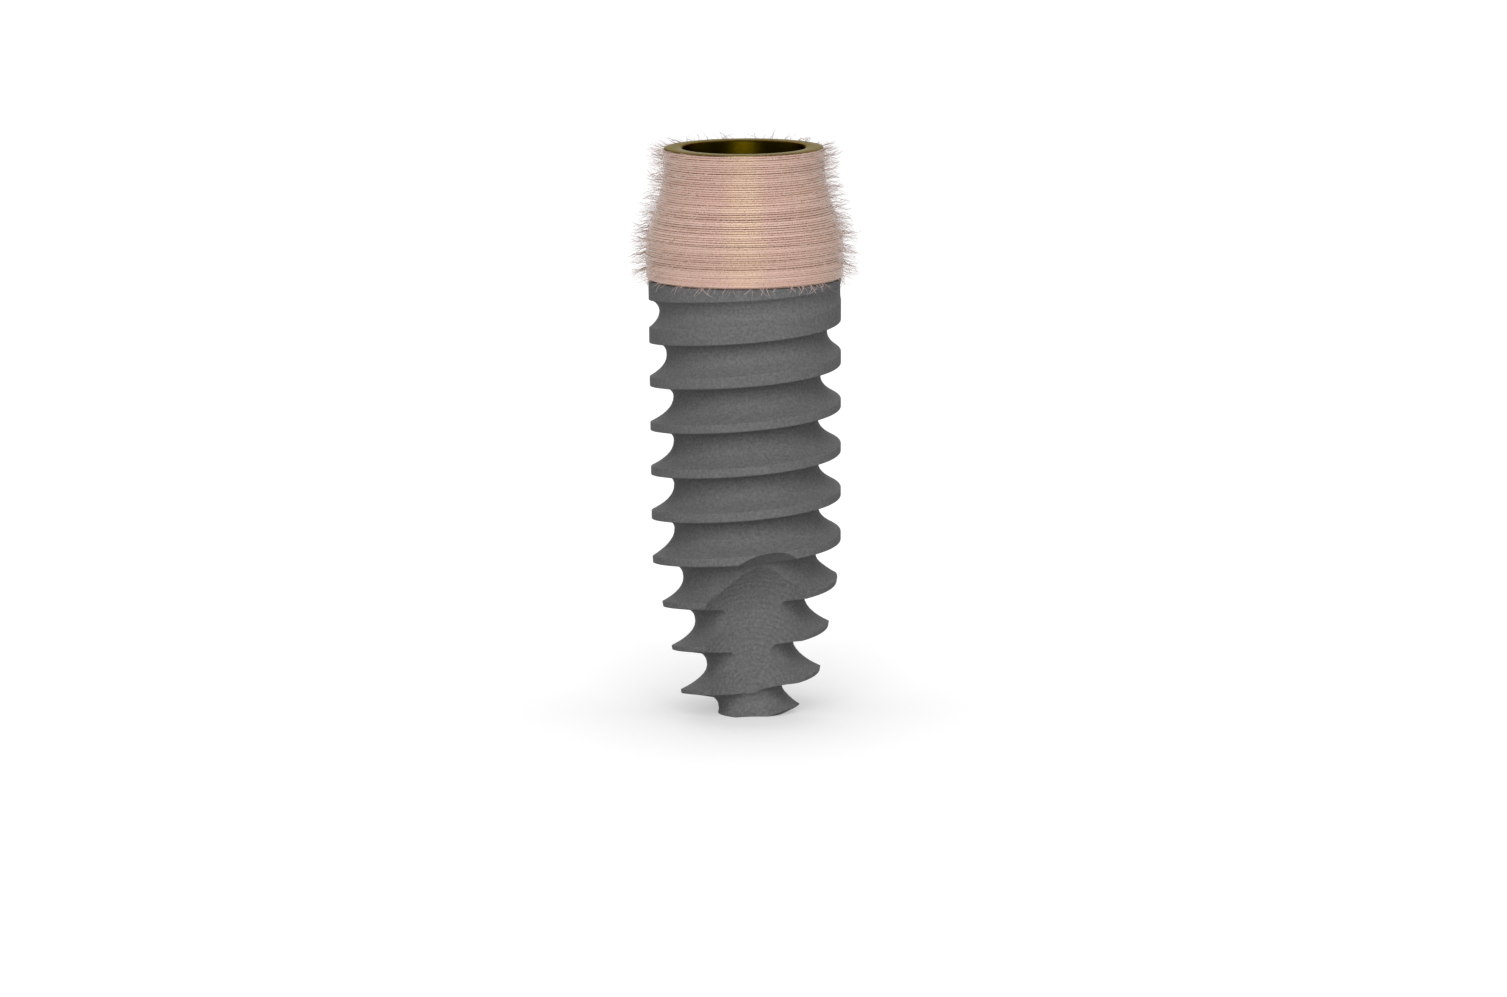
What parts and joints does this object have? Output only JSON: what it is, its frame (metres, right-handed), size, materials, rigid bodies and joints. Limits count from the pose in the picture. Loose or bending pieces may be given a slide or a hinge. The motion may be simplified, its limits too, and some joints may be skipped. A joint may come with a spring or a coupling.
{
  "type": "dental implant",
  "caption": "Tapered self-tapping dental implant fixture with a hexagon socket and a collar wrapped in fine pink fibre with loose hairs.",
  "frame": {"origin": "centre of the flat tip, on the axis", "axes": "+Z along the axis, from the tip to the rim; the first of the three cutting flutes faces -Y"},
  "size_m": [0.0052, 0.0052, 0.0128],
  "materials": {
    "blasted_titanium": "grit-blasted titanium, with the rim and the socket anodised to an olive gold",
    "pink_fibre": "fine matt fibre, wound in close turns with loose ends"
  },
  "bodies": {
    "root": {"implant_body": "blasted_titanium", "collar_fibre_wrap": "pink_fibre"}
  },
  "joints": []
}
